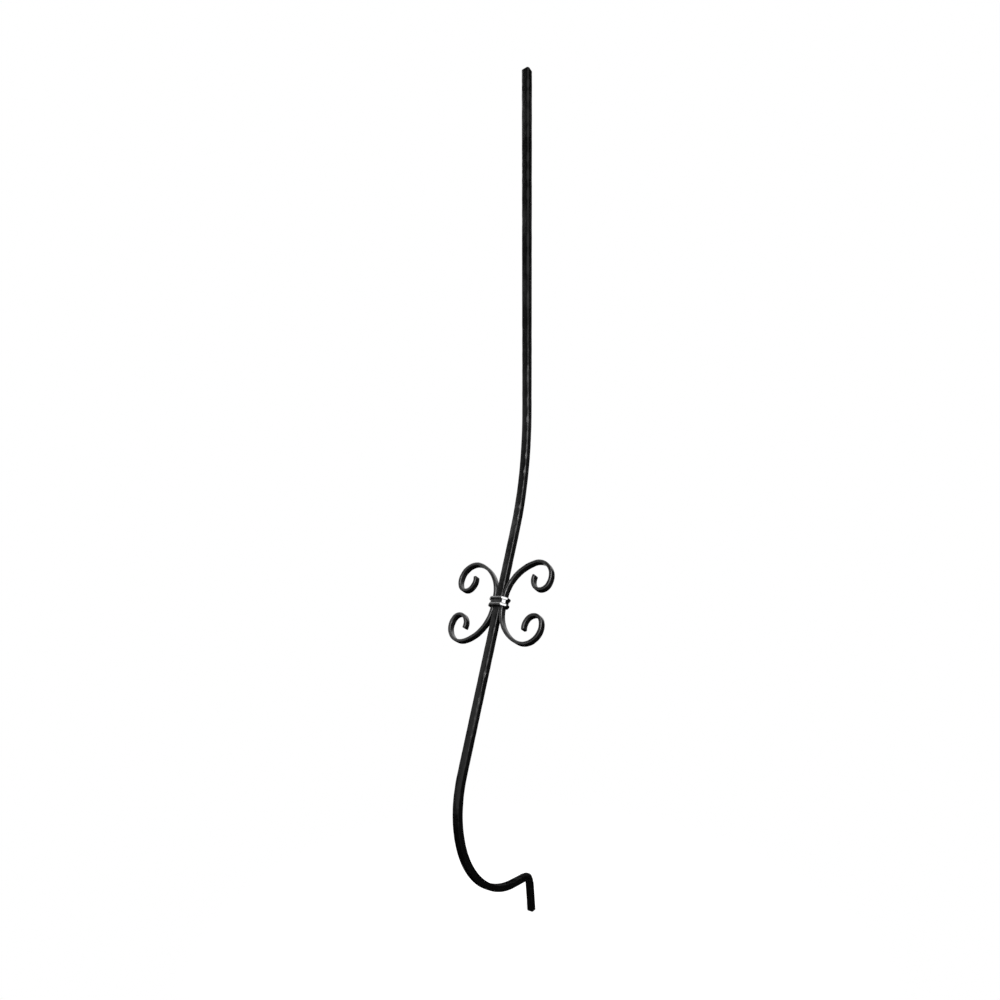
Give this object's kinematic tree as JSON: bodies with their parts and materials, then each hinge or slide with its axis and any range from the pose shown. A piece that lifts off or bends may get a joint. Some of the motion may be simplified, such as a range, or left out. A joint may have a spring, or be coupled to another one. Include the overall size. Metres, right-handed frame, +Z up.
{
  "type": "curved baluster",
  "caption": "Tall square-bar baluster with a rounded belly near its foot, and C-scrolls held to its sides by a ridged collar.",
  "frame": {"origin": "middle of the foot's level lower end", "axes": "+Z up along the straight top, +X along the railing, the belly bulges towards -Y"},
  "size_m": [0.1436, 0.1884, 1.1],
  "materials": {
    "black_paint": "glossy black paint over forged iron"
  },
  "bodies": {
    "root": {"curved_bar": "black_paint", "left_scroll": "black_paint", "right_scroll": "black_paint", "collar": "black_paint"}
  },
  "joints": []
}
